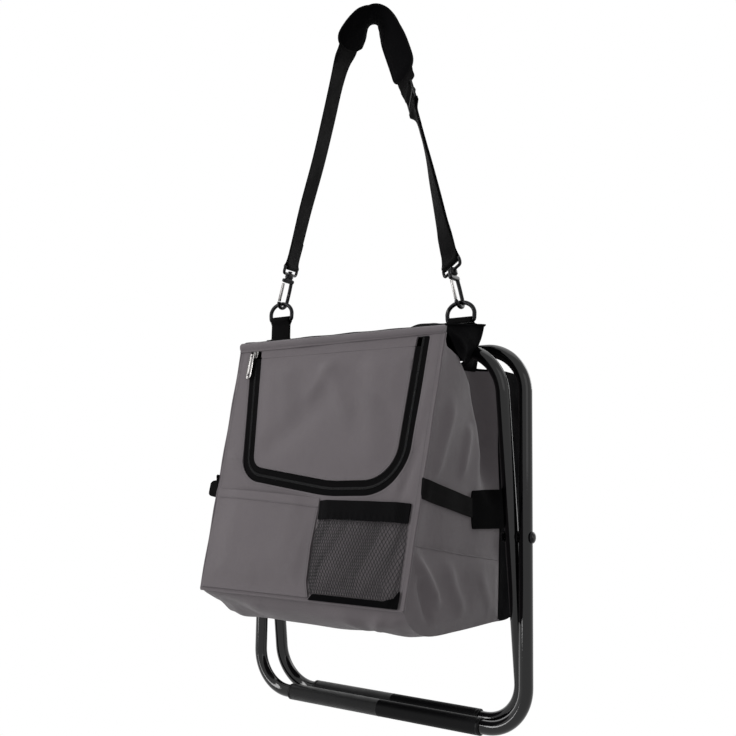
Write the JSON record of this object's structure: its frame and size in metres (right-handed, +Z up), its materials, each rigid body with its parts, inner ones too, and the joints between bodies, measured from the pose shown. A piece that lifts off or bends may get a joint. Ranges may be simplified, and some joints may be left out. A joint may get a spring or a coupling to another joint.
{
  "type": "folding cooler stool",
  "caption": "Folding stool of nested steel tube loops with an insulated bag slung under a cloth seat, a zipped front flap, pockets and a clip-on shoulder strap",
  "frame": {"origin": "the hang point, at the underside of the shoulder pad over its highest point", "axes": "+X along the seat rails to the user's right when they face the front, +Y to the rear, +Z up, in the folded and hung pose"},
  "size_m": [0.4306, 0.2806, 0.9255],
  "materials": {
    "tube": "gloss black powder coat",
    "steel_fittings": "black painted steel",
    "bright_metal": "nickel plated",
    "foot_rubber": "matt black",
    "black_plastic": "satin black",
    "foam": "silver lined foam",
    "grey_cloth": "coated woven cloth",
    "black_cloth": "woven cloth and webbing"
  },
  "bodies": {
    "strap": {"shoulder_strap": "black_cloth", "shoulder_pad": "black_cloth", "tri_glide": "black_plastic", "swivel_eye_left": "steel_fittings", "swivel_eye_right": "steel_fittings"},
    "d_rings": {"d_ring_left": "steel_fittings", "d_ring_right": "steel_fittings"},
    "bag": {"side_panel_left": "grey_cloth", "side_panel_right": "grey_cloth", "rear_gusset_left": "black_cloth", "rear_gusset_right": "black_cloth", "rear_panel": "black_cloth", "bottom_panel": "grey_cloth", "base_board": "black_plastic", "insulation_shell": "foam", "top_panel": "black_cloth", "seat_cloth_front": "black_cloth", "seat_cloth_rear": "black_cloth", "end_drape_left": "black_cloth", "end_drape_right": "black_cloth", "ring_tab_left": "black_cloth", "ring_tab_right": "black_cloth", "side_band_left": "black_cloth", "side_band_right": "black_cloth", "hook_and_loop_patch_left": "black_cloth", "hook_and_loop_patch_right": "black_cloth"},
    "hook_left": {"snap_hook_left": "steel_fittings"},
    "gate_left": {"hook_gate_left": "bright_metal"},
    "hook_right": {"snap_hook_right": "steel_fittings"},
    "gate_right": {"hook_gate_right": "bright_metal"},
    "rear_hem": {"rear_rail_hem": "black_cloth"},
    "outer_frame": {"outer_tube": "tube", "outer_joint_plug": "steel_fittings", "outer_foot_sleeve": "foot_rubber", "rivet_left": "steel_fittings", "rivet_right": "steel_fittings", "spacer_left": "black_plastic", "spacer_right": "black_plastic"},
    "inner_frame": {"inner_tube": "tube", "inner_joint_plug": "steel_fittings", "inner_foot_sleeve": "foot_rubber", "front_rail_hem": "black_cloth"},
    "bag_front": {"front_panel": "grey_cloth", "zip_tape_outer": "black_cloth", "zip_coil": "black_plastic", "front_liner": "foam", "top_hem": "grey_cloth", "front_pocket": "grey_cloth", "mesh_net": "black_cloth", "mesh_binding": "black_cloth", "mesh_edging": "black_cloth", "mesh_side_left": "black_cloth", "mesh_side_right": "black_cloth"},
    "flap": {"flap": "grey_cloth", "flap_liner": "foam", "zip_tape_inner": "black_cloth"},
    "zip_slider": {"zip_slider": "bright_metal"},
    "zip_pull": {"zip_pull": "bright_metal"}
  },
  "joints": [
    {"name": "ring_swing", "type": "hinge", "parent": "strap", "child": "d_rings", "pos_m": [-0.00155, 0, -0.39114], "axis": [0.9961, 0, -0.0887], "range_deg": [-20, 20]},
    {"name": "bag_swing", "type": "hinge", "parent": "d_rings", "child": "bag", "pos_m": [-0.00155, 0, -0.41432], "axis": [0.9961, 0, -0.0887], "range_deg": [-20, 20]},
    {"name": "hook_swivel_left", "type": "hinge", "parent": "strap", "child": "hook_left", "pos_m": [-0.14587, 0, -0.38406], "axis": [0.2779, 0, 0.9606], "range_deg": [-22, 22]},
    {"name": "gate_left", "type": "hinge", "parent": "hook_left", "child": "gate_left", "pos_m": [-0.1363, -0.00798, -0.35098], "axis": [0.9606, 0, -0.2779], "range_deg": [0, 24], "stiffness_Nm_per_rad": 0.02, "springref_deg": -11.46},
    {"name": "hook_swivel_right", "type": "hinge", "parent": "strap", "child": "hook_right", "pos_m": [0.14276, 0, -0.40976], "axis": [-0.2537, 0, 0.9673], "range_deg": [-22, 22]},
    {"name": "gate_right", "type": "hinge", "parent": "hook_right", "child": "gate_right", "pos_m": [0.13403, -0.00798, -0.37644], "axis": [0.9673, 0, 0.2537], "range_deg": [0, 24], "stiffness_Nm_per_rad": 0.02, "springref_deg": -11.46},
    {"name": "rear_hem_spread", "type": "slide", "parent": "bag", "child": "rear_hem", "axis": [0, 0.9651, 0.262], "range_m": [0, 0.08388], "deforming": ["seat_cloth_rear"]},
    {"name": "outer_frame_turn", "type": "hinge", "parent": "rear_hem", "child": "outer_frame", "pos_m": [0.00971, 0.03121, -0.4614], "axis": [1, 0, 0], "range_deg": [-33, 0]},
    {"name": "fold", "type": "hinge", "parent": "outer_frame", "child": "inner_frame", "pos_m": [0.00971, 0.03121, -0.6834], "axis": [1, 0, 0], "range_deg": [0, 58.25]},
    {"name": "front_spread", "type": "hinge", "parent": "bag", "child": "bag_front", "pos_m": [0.00971, -0.14275, -0.75533], "axis": [1, 0, 0], "range_deg": [0, 14], "deforming": ["seat_cloth_front", "end_drape_left", "end_drape_right"]},
    {"name": "flap_open", "type": "hinge", "parent": "bag_front", "child": "flap", "pos_m": [0.00971, -0.07858, -0.46616], "axis": [1, 0, 0], "range_deg": [-120, 0]},
    {"name": "zip_run", "type": "slide", "parent": "bag_front", "child": "zip_slider", "axis": [0.1362, -0.2146, -0.9671], "range_m": [0, 0.115]},
    {"name": "pull_turn", "type": "hinge", "parent": "zip_slider", "child": "zip_pull", "pos_m": [-0.12282, -0.08069, -0.45987], "axis": [1, 0, 0], "range_deg": [-150, 0]}
  ],
  "couplings": [
    {"joint": "rear_hem_spread", "follows": "fold", "m_per_rad": 0.082506},
    {"joint": "outer_frame_turn", "follows": "fold", "ratio": -0.56652},
    {"joint": "front_spread", "follows": "fold", "ratio": 0.24034}
  ]
}
